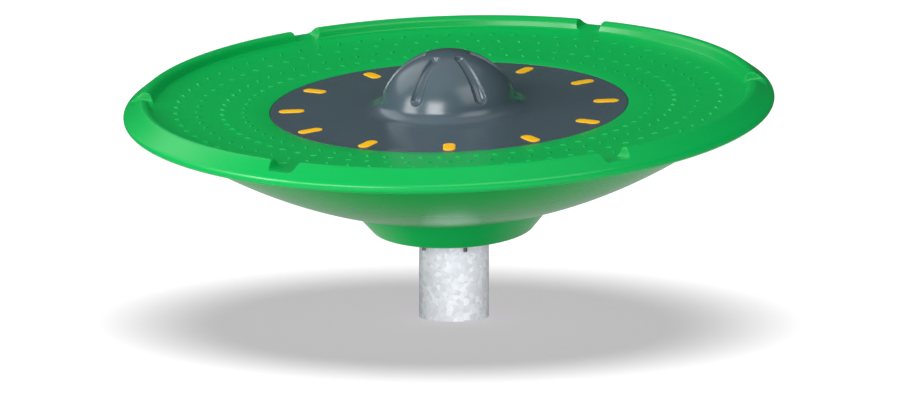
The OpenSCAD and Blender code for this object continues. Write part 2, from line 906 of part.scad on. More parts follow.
module arm_screws() {
    color("silver")
        on_axis(rest_turn + frame_turn)
            round_the_axis(division, arm_screw_r) {
                rod(m8_r, frame_bottom - cut, arm_screw_top);
                hexagon(hex8_r, frame_bottom - hex8_h, frame_bottom);
            }
}

module rim_screws() {
    color("silver")
        on_axis(rest_turn)
            round_the_axis(2 * division, rim_screw_r, rim_screw_turn) {
                rod(m5_r, rim_screw_seat - cut, rim_screw_seat + rim_screw_l);
                rod(m5_head_r, rim_screw_seat - m5_head_h, rim_screw_seat);
            }
}

module skirt_bolts() {
    color("silver")
        on_axis(rest_turn + frame_turn)
            round_the_axis(division, skirt_bolt_r) {
                rod(m8_r, web_bottom - shell_wall - cut, seam_h + shell_wall + nut8_h + 2);
                hexagon(hex8_r, web_bottom - shell_wall - hex8_h, web_bottom - shell_wall);
            }
}

module skirt_nuts() {
    color("silver")
        on_axis(rest_turn + frame_turn)
            round_the_axis(division, skirt_bolt_r)
                hex_nut(hex8_r, m8_r + seat_gap, seam_h + shell_wall, seam_h + shell_wall + nut8_h);
}

post();
anchor_sleeve();
head_plate();
spindle();
head_bolts();
head_washers();
head_nuts();
lower_inner_ring();
upper_inner_ring();
spacer_sleeve();
spindle_washer();
spindle_nut();
lower_balls();
lower_cage();
upper_balls();
upper_cage();
hub_housing();
lower_outer_ring();
upper_outer_ring();
retaining_ring();
shaft_seal();
grease_cap();
frame_arms();
frame_ring();
skirt_web();
deck_shell();
bowl_shell();
skirt();
centre_plate();
marks();
plate_screws();
ledge_bolts();
ledge_nuts();
arm_screws();
rim_screws();
skirt_bolts();
skirt_nuts();
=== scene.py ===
"""A leaning spinner disc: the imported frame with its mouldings, ribs and finishes.

Disc places are in millimetres about the spin axis: radius, then height over the
middle of the deck. on_axis() leans them and puts them in the frame, in metres.
"""

import math

import bmesh
import bpy
import numpy as np
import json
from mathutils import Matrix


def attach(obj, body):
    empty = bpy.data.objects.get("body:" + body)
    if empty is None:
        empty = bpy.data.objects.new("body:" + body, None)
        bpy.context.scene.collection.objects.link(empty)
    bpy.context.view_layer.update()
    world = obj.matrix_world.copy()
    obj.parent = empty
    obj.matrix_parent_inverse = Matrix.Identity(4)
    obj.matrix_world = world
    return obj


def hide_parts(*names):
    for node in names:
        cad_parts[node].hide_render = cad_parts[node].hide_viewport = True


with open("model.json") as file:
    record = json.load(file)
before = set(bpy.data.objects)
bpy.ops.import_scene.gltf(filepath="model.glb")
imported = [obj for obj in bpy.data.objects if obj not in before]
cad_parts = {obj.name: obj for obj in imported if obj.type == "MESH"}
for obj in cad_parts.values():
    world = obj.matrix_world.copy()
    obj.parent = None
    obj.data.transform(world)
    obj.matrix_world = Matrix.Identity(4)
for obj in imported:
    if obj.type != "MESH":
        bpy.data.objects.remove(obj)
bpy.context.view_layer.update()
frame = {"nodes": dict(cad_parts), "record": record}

MM = 0.001
LEAN = math.radians(8.0)
REST_TURN = math.radians(14.2)
DECK_HEIGHT = 430.0
AXIS_DROP = 301.0
PIVOT_HEIGHT = DECK_HEIGHT - AXIS_DROP * math.cos(LEAN)

# The photograph's camera, about the middle of the deck
PHOTO_WIDTH, PHOTO_HEIGHT = 909, 420
CAMERA_DISTANCE = 8.01
CAMERA_AROUND = math.radians(14.2)
CAMERA_ABOVE = math.radians(6.74)
CAMERA_LENS, CAMERA_SENSOR = 160.3, 36.0
CAMERA_CLIP = 0.1, 200.0
DECK_MIDDLE_PIXEL = (448.85, 105.14)


# Camera and lamps

LAMP_DISTANCE = 5.0


def photo_camera():
    """Sets the camera at the photograph's angle, level from side to side, and pitched and swung so
    that the middle of the deck falls on its pixel."""
    deck = np.array([0.0, -AXIS_DROP * math.sin(LEAN), DECK_HEIGHT]) * MM
    back = np.array([
        math.sin(CAMERA_AROUND) * math.cos(CAMERA_ABOVE),
        -math.cos(CAMERA_AROUND) * math.cos(CAMERA_ABOVE),
        math.sin(CAMERA_ABOVE),
    ])
    data = bpy.data.cameras.new("photo_camera")
    data.lens = CAMERA_LENS
    data.sensor_width = CAMERA_SENSOR
    data.clip_start, data.clip_end = CAMERA_CLIP
    focal = CAMERA_LENS / CAMERA_SENSOR * PHOTO_WIDTH
    across = DECK_MIDDLE_PIXEL[0] - PHOTO_WIDTH / 2
    up = PHOTO_HEIGHT / 2 - DECK_MIDDLE_PIXEL[1]
    reach = math.sqrt(across**2 + up**2 + focal**2)
    drop = math.sin(CAMERA_ABOVE) * reach / math.hypot(up, focal)
    pitch = math.asin(-drop) - math.atan2(up, focal)
    swing_right = math.asin(across / reach / math.cos(CAMERA_ABOVE))
    camera = bpy.data.objects.new("photo_camera", data)
    camera.location = deck + CAMERA_DISTANCE * back
    camera.rotation_euler = (math.pi / 2 + pitch, 0.0, CAMERA_AROUND + swing_right)
    bpy.context.scene.collection.objects.link(camera)
    bpy.context.scene.camera = camera


def receivers(name, pieces, state):
    """Lists what a lamp lights: the pieces alone with INCLUDE, all but the pieces with EXCLUDE."""
    listed = bpy.data.collections.new(name)
    for number, piece in enumerate(pieces):
        listed.objects.link(piece)
        listed.collection_objects[number].light_linking.link_state = state
    return listed


def soft_light(name, around, above, size, power, lights, glints=True, tints=True):
    """A soft lamp that faces the disc. Its angles are in degrees, around from the camera's side to
    its right. A lamp without glints isn't mirrored, and one without tints is only mirrored."""
    data = bpy.data.lights.new(name, "AREA")
    data.shape = "RECTANGLE"
    data.size, data.size_y = size
    data.energy = power
    lamp = bpy.data.objects.new(name, data)
    turn, lift = CAMERA_AROUND + math.radians(around), math.radians(above)
    lamp.location = (
        LAMP_DISTANCE * math.sin(turn) * math.cos(lift),
        -LAMP_DISTANCE * math.cos(turn) * math.cos(lift),
        LAMP_DISTANCE * math.sin(lift) + DECK_HEIGHT * MM,
    )
    lamp.rotation_euler = (math.pi / 2 - lift, 0.0, turn)
    lamp.light_linking.receiver_collection = lights
    lamp.visible_glossy, lamp.visible_diffuse = glints, tints
    bpy.context.scene.collection.objects.link(lamp)


# Meshes from grids of points


def on_axis(points, turn=REST_TURN):
    """Disc places to the frame: a turn about the axis, a lift by the drop, a lean about X and a
    lift to the pivot."""
    x, y, z = np.moveaxis(np.asarray(points, float), -1, 0)
    across = x * math.cos(turn) - y * math.sin(turn)
    along = x * math.sin(turn) + y * math.cos(turn)
    lifted = z + AXIS_DROP
    return MM * np.stack([
        across,
        along * math.cos(LEAN) - lifted * math.sin(LEAN),
        along * math.sin(LEAN) + lifted * math.cos(LEAN) + PIVOT_HEIGHT,
    ], -1)


SAME_POINT = 2e-6


def mesh_piece(name, grids, body, material, replaces=(), closed_rows=True, crease=38.0):
    """One piece from grids of points, rows by columns. Neighbouring points are joined by four-sided
    faces. Columns close on themselves, and rows do where they are a closed outline. Edges sharper
    than the crease, in degrees, stay sharp."""
    corners, faces, start = [], [], 0
    for grid in grids:
        rows, columns = grid.shape[:2]
        number = start + np.arange(rows * columns).reshape(rows, columns)
        below = np.roll(number, -1, axis=0) if closed_rows else number[1:]
        here = number if closed_rows else number[:-1]
        faces.append(np.stack([
            here, below, np.roll(below, -1, axis=1), np.roll(here, -1, axis=1)
        ], -1).reshape(-1, 4))
        corners.append(grid.reshape(-1, 3))
        start += rows * columns
    corners, faces = np.concatenate(corners), np.concatenate(faces)
    mesh = bpy.data.meshes.new(name)
    mesh.vertices.add(len(corners))
    mesh.vertices.foreach_set("co", corners.ravel())
    mesh.loops.add(faces.size)
    mesh.loops.foreach_set("vertex_index", faces.ravel())
    mesh.polygons.add(len(faces))
    mesh.polygons.foreach_set("loop_start", np.arange(len(faces)) * 4)
    mesh.update(calc_edges=True)
    merged = bmesh.new()
    merged.from_mesh(mesh)
    bmesh.ops.remove_doubles(merged, verts=merged.verts, dist=SAME_POINT)
    merged.to_mesh(mesh)
    merged.free()
    mesh.shade_smooth()
    mesh.set_sharp_from_angle(angle=math.radians(crease))
    mesh.materials.append(material)
    piece = bpy.data.objects.new(name, mesh)
    bpy.context.scene.collection.objects.link(piece)
    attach(piece, body)
    if replaces:
        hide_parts(*replaces)
    return piece


def polar(radius, angle):
    """Points at a radius and an angle."""
    return np.stack([radius * np.cos(angle), radius * np.sin(angle)], -1)


def arc(centre, radius, start, end, steps):
    """Points of a circle between two angles in degrees."""
    return np.asarray(centre) + polar(radius, np.radians(np.linspace(start, end, steps + 1)))


def straight(start, end, steps):
    """Evenly spaced points of a line, both ends among them."""
    return np.linspace(start, end, steps + 1)


def swing(start, slope, end, steps):
    """A round stretch that leaves the start at a slope in degrees and ends at the end."""
    start, end = np.asarray(start, float), np.asarray(end, float)
    chord = end - start
    leave = math.radians(slope)
    half = math.atan2(chord[1], chord[0]) - leave
    share = half * np.linspace(0, 1, steps + 1)
    reach = np.hypot(*chord) * np.sin(share) / math.sin(half)
    return start + polar(reach, leave + share)


def bend(start, middle, end, steps):
    """A parabola whose end directions meet at the middle point."""
    start, middle, end = (np.asarray(point) for point in (start, middle, end))
    t = np.linspace(0, 1, steps + 1)[:, None]
    return (1 - t) ** 2 * start + 2 * t * (1 - t) * middle + t**2 * end


def outline(*stretches):
    """Joins stretches of an outline and drops the points that repeat."""
    points = np.concatenate(stretches)
    keep = np.r_[True, np.hypot(*np.diff(points, axis=0).T) > 1e-4]
    return points[keep]


def turned(line, around):
    """Turns an outline of radius and height about the axis, one column for each angle."""
    radius, height = line[:, :1], line[:, 1:]
    return np.stack([
        radius * np.cos(around), radius * np.sin(around), height + 0 * around
    ], -1)


def even_columns(count):
    """Evenly spaced angles round a full turn."""
    return np.arange(count) / count * 2 * math.pi


def cubic_step(share):
    """A smooth rise from 0 to 1: 3s^2 - 2s^3."""
    share = np.clip(share, 0, 1)
    return share * share * (3 - 2 * share)


def lesser(a, b, blend):
    """The lower of two heights, with the edge between them rounded over the blend."""
    near = np.clip(0.5 + 0.5 * (b - a) / blend, 0, 1)
    return b + (a - b) * near - blend * near * (1 - near)


# Shader sums: a Wire is a number in a node tree, and ordinary operators add Math nodes


def _operator(operation, swapped=False):
    """A method that sums two numbers by a Math node."""
    def act(self, other):
        pair = (other, self) if swapped else (self, other)
        return self.maker.node("Math", {"operation": operation}, dict(enumerate(pair)))

    return act


class Wire:
    """An output of a node that can be used in sums."""

    def __init__(self, maker, socket):
        self.maker, self.socket = maker, socket

    __add__, __mul__, __pow__ = _operator("ADD"), _operator("MULTIPLY"), _operator("POWER")
    __sub__, __rsub__ = _operator("SUBTRACT"), _operator("SUBTRACT", swapped=True)


class NodeMaker:
    """Adds nodes to a tree, each by one method."""

    def __init__(self, tree):
        self.tree = tree

    def node(self, kind, settings=None, values=None, out=0):
        """Adds a node: its settings first, then the values or wires of its sockets."""
        made = self.tree.nodes.new("ShaderNode" + kind)
        for setting, value in (settings or {}).items():
            if setting == "stops":
                self._stops(made.color_ramp.elements, value)
            else:
                setattr(made, setting, value)
        for socket, value in (values or {}).items():
            self._feed(made.inputs[socket], value)
        return Wire(self, made.outputs[out])

    def _feed(self, socket, value):
        """Links a wire to a socket, or sets the socket's own value."""
        if isinstance(value, Wire):
            self.tree.links.new(value.socket, socket)
        else:
            socket.default_value = value

    def _stops(self, elements, stops):
        """Sets a ramp's stops, each a place and a grey."""
        while len(elements) > 1:
            elements.remove(elements[-1])
        for number, (place, level) in enumerate(stops):
            stop = elements[0] if number == 0 else elements.new(place)
            stop.position = place
            stop.color = (level, level, level, 1.0)

    def ramp(self, value, *stops):
        """A ramp of greys: each stop is a place from 0 to 1 and the grey there."""
        return self.node("ValToRGB", {"stops": stops}, {0: value})


class Finish(NodeMaker):
    """A material with one Principled shader. Fixed values are set on the shader's own sockets."""

    def __init__(self, name, **fixed):
        self.material = bpy.data.materials.new(name)
        self.material.use_nodes = True
        super().__init__(self.material.node_tree)
        self.tree.nodes.clear()
        self.shader = self.tree.nodes.new("ShaderNodeBsdfPrincipled")
        output = self.tree.nodes.new("ShaderNodeOutputMaterial")
        self.tree.links.new(self.shader.outputs[0], output.inputs["Surface"])
        self.feed(**fixed)

    def feed(self, **values):
        """Sets or links sockets of the shader and gives the material back."""
        for socket, value in values.items():
            self._feed(self.shader.inputs[socket.replace("_", " ")], value)
        return self.material

    def place(self):
        """Object coordinates: metres in the frame, which move with the piece."""
        return self.node("TexCoord", out="Object")

    def disc_place(self):
        """Coordinates about the spin axis, in metres from the middle of the deck."""
        back = (
            0.0,
            -PIVOT_HEIGHT * MM * math.sin(LEAN),
            -PIVOT_HEIGHT * MM * math.cos(LEAN) - AXIS_DROP * MM,
        )
        return self.node("Mapping", {}, {
            "Vector": self.place(), "Location": back, "Rotation": (-LEAN, 0.0, 0.0),
        })

    def noise(self, at, scale, detail=3.0, rough=0.5, warp=0.0):
        """Noise from 0 to 1. The scale counts its grains per metre."""
        return self.node("TexNoise", {}, {
            "Vector": at, "Scale": scale, "Detail": detail, "Roughness": rough, "Distortion": warp,
        })

    def stretched(self, at, scale, turn=0.0):
        """Coordinates turned about the axis and scaled along each direction."""
        return self.node("Mapping", {}, {
            "Vector": at, "Rotation": (0.0, 0.0, turn), "Scale": scale,
        })

    def mix(self, share, first, second):
        """A blend of two colours, which are sockets 6 and 7 of the node and its output 2."""
        return self.node("Mix", {"data_type": "RGBA"}, {0: share, 6: first, 7: second}, 2)

    def bump(self, height, strength, depth):
        """A normal bent by a height. The depth is in metres."""
        return self.node("Bump", {}, {"Height": height, "Strength": strength, "Distance": depth})


def rgba(red, green, blue):
    """A display colour from 0 to 255 as the linear colour that a shader takes."""
    channels = np.array([red, green, blue]) / 255
    linear = np.where(channels <= 0.04045, channels / 12.92, ((channels + 0.055) / 1.055) ** 2.4)
    return (*linear.tolist(), 1.0)


def moulded_plastic(name, colour, dull, worn, roughness, grain, gloss):
    """Moulded plastic: slow drifts of tone, a fine moulded grain, rubbed patches and faint
    scratches."""
    f = Finish(name, Specular_IOR_Level=gloss)
    at = f.disc_place()
    drift = f.noise(at, scale=3.1, detail=4.0, rough=0.55, warp=0.4)
    rubbed = f.noise(at, scale=9.0, detail=6.0, rough=0.62, warp=0.8)
    rubbed = f.ramp(rubbed, (0.46, 0.0), (0.72, 1.0))
    along = f.stretched(at, (14.0, 260.0, 40.0), turn=0.7)
    scratch = f.ramp(f.noise(along, scale=1.0, detail=2.0, rough=0.4), (0.66, 0.0), (0.72, 1.0))
    speck = f.noise(at, scale=900.0, detail=2.0)
    texture = f.noise(at, scale=1400.0, detail=3.0, rough=0.6)
    ripple = f.noise(at, scale=60.0, detail=2.0)
    return f.feed(
        Base_Color=f.mix(rubbed * 0.04 + scratch * 0.02, f.mix(drift, colour, dull), worn),
        Roughness=rubbed * 0.02 + scratch * 0.02 + speck * 0.03 + roughness,
        Normal=f.bump(texture * 0.5 + ripple * 0.12 - scratch * 0.012, grain, depth=0.0004),
    )


def galvanised(name, dark, bright):
    """Hot-dip zinc: crystal patches of slightly different grey and gloss, with bent outlines,
    feathered by a fine noise and with a dull bloom over them."""
    f = Finish(name, Metallic=0.1)
    at = f.place()
    wander = f.node("TexNoise", {}, {"Vector": at, "Scale": 90.0, "Detail": 2.0}, "Color")
    bent = f.node("VectorMath", {"operation": "MULTIPLY_ADD"}, {
        0: wander, 1: (0.012, 0.012, 0.012), 2: at,
    })
    crystal = f.node("TexVoronoi", {"feature": "F1"}, {
        "Vector": bent, "Scale": 105.0, "Randomness": 1.0,
    }, "Color")
    shade = f.node("SeparateColor", {}, {0: crystal})
    feather = f.noise(at, scale=320.0, detail=3.0, rough=0.6, warp=1.2)
    bloom = f.ramp(f.noise(at, scale=7.0, detail=4.0, rough=0.6), (0.35, 0.0), (0.75, 1.0))
    return f.feed(
        Base_Color=f.mix(shade ** 1.6 * 0.7 + feather * 0.2 + bloom * 0.1, dark, bright),
        Roughness=0.66 - shade * 0.16 + bloom * 0.08,
        Normal=f.bump(shade * 0.5 + feather * 0.5, 0.10, depth=0.0006),
    )


def machined_metal(name, dark, bright, roughness):
    """Plated or turned metal: fine streaks of tone and gloss with small stains."""
    f = Finish(name, Metallic=1.0)
    at = f.disc_place()
    stain = f.noise(at, scale=60.0, detail=5.0, rough=0.6, warp=0.5)
    streak = f.noise(f.stretched(at, (1.0, 1.0, 9.0)), scale=400.0, detail=2.0)
    return f.feed(
        Base_Color=f.mix(stain * 0.6 + streak * 0.4, dark, bright),
        Roughness=streak * 0.14 + stain * 0.10 + roughness,
        Normal=f.bump(streak, 0.08, depth=0.0002),
    )


def painted_steel(name, colour, chalk):
    """Primer on steel: a dull coat with chalky patches and a light orange peel."""
    f = Finish(name, Specular_IOR_Level=0.35)
    at = f.place()
    patch = f.noise(at, scale=25.0, detail=5.0, rough=0.6)
    peel = f.noise(at, scale=500.0, detail=2.0)
    return f.feed(
        Base_Color=f.mix(patch, colour, chalk),
        Roughness=patch * 0.2 + 0.5,
        Normal=f.bump(peel, 0.15, depth=0.0004),
    )


def seal_rubber(name, colour, chalk):
    """Black rubber with a faint bloom and a fine grain."""
    f = Finish(name, Specular_IOR_Level=0.3)
    at = f.place()
    bloom = f.noise(at, scale=180.0, detail=4.0)
    grain = f.noise(at, scale=900.0, detail=2.0)
    return f.feed(
        Base_Color=f.mix(bloom, colour, chalk),
        Roughness=bloom * 0.2 + 0.6,
        Normal=f.bump(grain, 0.1, depth=0.0003),
    )


GREEN = moulded_plastic(
    "green_plastic", rgba(1, 181, 82), dull=rgba(1, 174, 80), worn=rgba(35, 190, 104),
    roughness=0.27, grain=0.03, gloss=0.36)
# The bowl's green is a darker copy of the deck's green plastic, painted shade for the underside,
# which is the same plastic as the deck and the skirt.
SHADED_UNDERSIDE_GREEN = moulded_plastic(
    "green_underside", rgba(2, 161, 67), dull=rgba(2, 156, 64), worn=rgba(40, 178, 92),
    roughness=0.22, grain=0.012, gloss=0.5)
GREY = moulded_plastic(
    "grey_plastic", rgba(72, 87, 96), dull=rgba(68, 83, 92), worn=rgba(106, 120, 128),
    roughness=0.22, grain=0.03, gloss=0.5)
YELLOW = moulded_plastic(
    "yellow_plastic", rgba(255, 194, 3), dull=rgba(252, 189, 3), worn=rgba(255, 210, 50),
    roughness=0.36, grain=0.05, gloss=0.5)
ZINC_DIP = galvanised("galvanised_steel", rgba(210, 212, 221), rgba(248, 249, 255))
SLOT_FINISH = {
    "galvanised_steel": ZINC_DIP,
    "zinc_plated_steel": machined_metal(
        "zinc_plated_steel", rgba(150, 154, 160), rgba(205, 208, 212), roughness=0.28),
    "machined_steel": machined_metal(
        "machined_steel", rgba(120, 122, 126), rgba(160, 162, 166), roughness=0.3),
    "bearing_steel": machined_metal(
        "bearing_steel", rgba(180, 182, 186), rgba(215, 217, 220), roughness=0.12),
    "bronze": machined_metal("bronze", rgba(170, 120, 60), rgba(205, 155, 90), roughness=0.3),
    "frame_steel": painted_steel("frame_steel", rgba(92, 98, 104), rgba(120, 126, 131)),
    "seal_rubber": seal_rubber("seal_rubber", rgba(22, 22, 23), rgba(44, 44, 45)),
    "green_plastic": GREEN,
    "green_underside": SHADED_UNDERSIDE_GREEN,
    "grey_plastic": GREY,
    "yellow_plastic": YELLOW,
}


# Deck: dished floor, notched rim and the walls inside

REPEATS = 6
SHELL_WALL = 5.0
RECESS_RADIUS, RECESS_ROUND = 355.0, 0.8
LEDGE_TOP, LEDGE_BOTTOM, LEDGE_HOLE = -10.3, -15.3, 52.0
DISH_SLOPE = 2.5
WALL_FOOT, FOOT_ROUND = np.array([586.0, 18.0]), 6.0
CREST, CREST_ROUND = np.array([603.1, 25.6]), 13.9
NOSE, NOSE_ROUND = np.array([632.1, 8.0]), 10.5
LIP_RADIUS = 620.1
BOWL_TOP = np.array([579.3, -10.3])

# Steps along the deck's line. The dish keeps few of its first points, up to the turn, and more of
# the rest. Inside, all but the dish has a share of the steps.
DISH_STEPS, FOOT_STEPS, WALL_STEPS, CREST_STEPS, SLOPE_STEPS, NOSE_STEPS = 40, 10, 8, 18, 14, 18
DISH_TURN, SPARSE, CLOSE = 28, 7, 2
INSIDE_FINENESS = 0.4

# Notches: half widths and roundings in mm, the slope of the sides in degrees, and the even fall of
# the floor inwards, in mm per mm, from the radius where it leaves the rim
NOTCH_FLOOR, NOTCH_HALF = 23.4, 18.2
NOTCH_SIDE = 73.0
NOTCH_TOP_ROUND, NOTCH_FOOT_ROUND, SMALLEST_ROUND = 4.5, 9.0, 0.2
NOTCH_ROUND_STEPS = 24
NOTCH_OUT, NOTCH_FALL = 618.0, 0.132
FAN_HALF, FAN_SPREAD = 10.0, 24.0
EDGE_BLEND, STEEPEST = 1.3, 3.3

# Columns to one side of a notch's middle: from and to in mm along the crest, and how many. They are
# few over its floor and close together over its sides. The last count is up to halfway to the next.
NOTCH_COLUMNS = ((0, 16, 5), (17.5, 33.8, 34), (36, 44, 3))
COLUMNS_BETWEEN_NOTCHES = 20

# Gaps between the last point of one face and the corner that it shares with the next
LEDGE_GAP, RECESS_GAP, UNDER_GAP = 0.2, 0.1, 0.3


def rim_angles():
    """Where the crest's round ends, the slope of the inner wall and that of the floor at its foot,
    all in degrees."""
    outer = NOSE - CREST
    lean = math.acos((CREST_ROUND - NOSE_ROUND) / np.hypot(*outer))
    outer_normal = math.atan2(outer[1], outer[0]) + lean
    inner = CREST - WALL_FOOT
    inner_slope = math.atan2(inner[1], inner[0]) + math.asin(CREST_ROUND / np.hypot(*inner))
    chord_slope = math.atan2(WALL_FOOT[1], WALL_FOOT[0] - RECESS_RADIUS)
    floor_slope = 2 * chord_slope - math.radians(DISH_SLOPE)
    return math.degrees(outer_normal), math.degrees(inner_slope), math.degrees(floor_slope)


OUTER_NORMAL, INNER_SLOPE, FLOOR_SLOPE = rim_angles()


def under_rim(radius):
    """Height of the sloping underside between the bowl and the rim's outer edge."""
    rise = NOSE[1] - NOSE_ROUND - BOWL_TOP[1]
    return BOWL_TOP[1] + (radius - BOWL_TOP[0]) * rise / (NOSE[0] - BOWL_TOP[0])


def deck_line(depth, fine):
    """The deck's face from the recess to under the rim, or a face that lies a depth inside it:
    dish, round foot, straight wall, round crest, straight slope and round nose."""
    def steps(count):
        """The share of a stretch's steps, two at least."""
        return max(2, int(count * fine))

    half_turn = (INNER_SLOPE - FLOOR_SLOPE) / 2
    middle = WALL_FOOT + polar(
        FOOT_ROUND / math.cos(math.radians(half_turn)), math.radians(90 + FLOOR_SLOPE + half_turn))
    foot = arc(
        middle, FOOT_ROUND + depth, FLOOR_SLOPE - 90, INNER_SLOPE - 90, steps(FOOT_STEPS))
    crest = arc(CREST, CREST_ROUND - depth, INNER_SLOPE + 90, OUTER_NORMAL, steps(CREST_STEPS))
    nose = arc(NOSE, NOSE_ROUND - depth, OUTER_NORMAL, -90, steps(NOSE_STEPS))
    dish = swing([RECESS_RADIUS, -depth], DISH_SLOPE, foot[0], DISH_STEPS)
    return outline(
        dish[:DISH_TURN:SPARSE],
        dish[DISH_TURN::CLOSE],
        foot,
        straight(foot[-1], crest[0], steps(WALL_STEPS)),
        crest,
        straight(crest[-1], nose[0], steps(SLOPE_STEPS)),
        nose,
    )


def notch_height(across, depth):
    """Height of a notch's surface at a distance from its centre line: floor, round foot, leaning
    side and round top. Past the top it rises, clear of the rim, by half the square of the way."""
    rise = CREST[1] + CREST_ROUND - NOTCH_FLOOR
    side = math.radians(NOTCH_SIDE)
    rounds = NOTCH_TOP_ROUND + NOTCH_FOOT_ROUND
    middle = (rise - rounds * (1 - math.cos(side))) / math.sin(side)
    run = rounds * math.sin(side) + middle * math.cos(side)
    foot = arc(
        [NOTCH_HALF, NOTCH_FLOOR + NOTCH_FOOT_ROUND],
        NOTCH_FOOT_ROUND + depth, -90, NOTCH_SIDE - 90, NOTCH_ROUND_STEPS)
    top = arc(
        [NOTCH_HALF + run, NOTCH_FLOOR + rise - NOTCH_TOP_ROUND],
        max(NOTCH_TOP_ROUND - depth, SMALLEST_ROUND), NOTCH_SIDE + 90, 90, NOTCH_ROUND_STEPS)
    curve = np.concatenate([foot, top])
    beyond = np.clip(across - curve[-1, 0], 0, None)
    return np.interp(across, curve[:, 0], curve[:, 1]) + beyond * beyond * 0.5


def sixths(half, rest):
    """Angles round the disc. In each sixth, half lies to either side of the middle of a notch or
    a groove, and rest goes on from there to halfway between two."""
    sector = np.concatenate([-half[:0:-1], half, rest, 2 * math.pi / REPEATS - rest[-2::-1]])
    return (sector[None, :] + np.arange(REPEATS)[:, None] * 2 * math.pi / REPEATS).ravel()


def from_middle(around):
    """Angle from the middle of the nearest notch or groove."""
    return (around + math.pi / REPEATS) % (2 * math.pi / REPEATS) - math.pi / REPEATS


def notch_columns():
    """Angles round the deck."""
    half = np.concatenate([np.linspace(*part) for part in NOTCH_COLUMNS]) / CREST[0]
    return sixths(half, np.linspace(half[-1], math.pi / REPEATS, COLUMNS_BETWEEN_NOTCHES)[1:])


def notched(line, around, depth):
    """Turns a line about the axis and lowers it to the notches. The edges are rounded: a steep side
    blends over a greater height than the floor. The slope is the rise over a millimetre. A notch's
    floor falls inwards at an even rate, and runs out over the deck as a low fan that fades away
    to either side."""
    grid = turned(line, around)
    radius, height = line[:, :1], grid[..., 2]
    across = np.abs(radius * np.sin(from_middle(around)))
    slope = notch_height(across + 0.5, depth) - notch_height(across - 0.5, depth)
    blend = EDGE_BLEND * np.hypot(1, slope.clip(0, STEEPEST))
    top = CREST[1] + CREST_ROUND
    fall = NOTCH_FALL * np.clip(NOTCH_OUT - radius, 0, None)
    cut = top - (top - notch_height(across, depth)) * (1 + fall / (top - NOTCH_FLOOR))
    on_rim = radius > WALL_FOOT[0] - FOOT_ROUND
    lowered = np.where(on_rim, lesser(height, cut, blend), height)
    extended = WALL_FOOT[1] + (radius - WALL_FOOT[0]) * math.tan(math.radians(FLOOR_SLOPE))
    dish = np.where(on_rim, extended, height)
    fade = cubic_step((FAN_HALF + FAN_SPREAD - across) / FAN_SPREAD)
    fan = np.clip(NOTCH_FLOOR - fall - dish, 0, None) * fade
    on_fan = (depth == 0) & (radius < CREST[0] - CREST_ROUND) & (fan > 0)
    grid[..., 2] = np.where(on_fan, np.maximum(lowered, dish + fan), lowered)
    return grid


def deck():
    """The green moulding: ledge, recess wall, notched face, lip and the same faces inside. Gives
    the line of its face, which the ribs lie on, and the piece."""
    around = notch_columns()
    face = deck_line(0, 1.0)
    inside = deck_line(SHELL_WALL, INSIDE_FINENESS)[::-1]
    step = RECESS_RADIUS + SHELL_WALL
    inside = inside[inside[:, 0] > step + SHELL_WALL]
    recess = outline(
        straight([LEDGE_HOLE, LEDGE_TOP], [RECESS_RADIUS, LEDGE_TOP], 2),
        straight(
            [RECESS_RADIUS, LEDGE_TOP + LEDGE_GAP],
            [RECESS_RADIUS, -RECESS_ROUND - RECESS_GAP], 2),
        arc([RECESS_RADIUS + RECESS_ROUND, -RECESS_ROUND], RECESS_ROUND, 180, 100, 3),
    )
    lip = np.array([
        [LIP_RADIUS, under_rim(LIP_RADIUS)],
        [LIP_RADIUS, NOSE[1] - NOSE_ROUND + SHELL_WALL],
    ])
    ledge_under = np.array([
        [step, UNDER_GAP - SHELL_WALL], [step, LEDGE_BOTTOM], [LEDGE_HOLE, LEDGE_BOTTOM],
    ])
    grid = np.concatenate([
        turned(recess, around),
        notched(face[1:], around, 0),
        turned(lip, around),
        notched(inside, around, SHELL_WALL),
        turned(ledge_under, around),
    ])
    piece = mesh_piece("deck", [on_axis(grid)], "disc", GREEN, ["deck_shell"])
    return face, piece


# Ribs: four rings of short raised bars, leaning to and fro

# Each ring: its radius, the angle of its first rib and the ribs' lean, in degrees
RIB_RINGS = ((538.6, 0.0, -45.0), (495.2, 2.5, 45.0), (446.8, 0.0, -45.0), (404.2, 2.5, 45.0))
RIBS_PER_RING = 72
RIB_LENGTH, RIB_WIDTH, RIB_HEIGHT = 15.0, 5.0, 2.5
RIB_COLUMNS = 14
RIB_ROWS = 1.12, 0.88, 0.66, 0.45, 0.24, 0.0


def ribs(face):
    """Each rib is a low swell over a round-ended bar. Its height falls with the square of the way
    out to the bar's edge, and its first row lies past the edge, under the deck's face."""
    turn = even_columns(RIB_COLUMNS)
    way_out = np.array(RIB_ROWS)[:, None]
    half_length, half_width = RIB_LENGTH / 2, RIB_WIDTH / 2
    end = half_length - half_width
    along = half_width * np.cos(turn) + end * np.sign(np.cos(turn))
    across = half_width * np.sin(turn)
    bar_x = along * way_out
    bar_y = across * way_out
    bar_z = RIB_HEIGHT * (1 - way_out**2) + 0 * bar_x
    grids = []
    for radius, start, lean in RIB_RINGS:
        for number in range(RIBS_PER_RING):
            at = math.radians(start + number * 360 / RIBS_PER_RING)
            point = at + math.radians(lean)
            x = radius * math.cos(at) + bar_x * math.cos(point) - bar_y * math.sin(point)
            y = radius * math.sin(at) + bar_x * math.sin(point) + bar_y * math.cos(point)
            z = bar_z + np.interp(np.hypot(x, y), face[:, 0], face[:, 1])
            grids.append(on_axis(np.stack([x, y, z], -1))[::-1])
    return mesh_piece(
        "deck_ribs", grids, "disc", GREEN, closed_rows=False, crease=60.0)


# Centre plate: a flat ring, a flared foot and a dome with six finger grooves

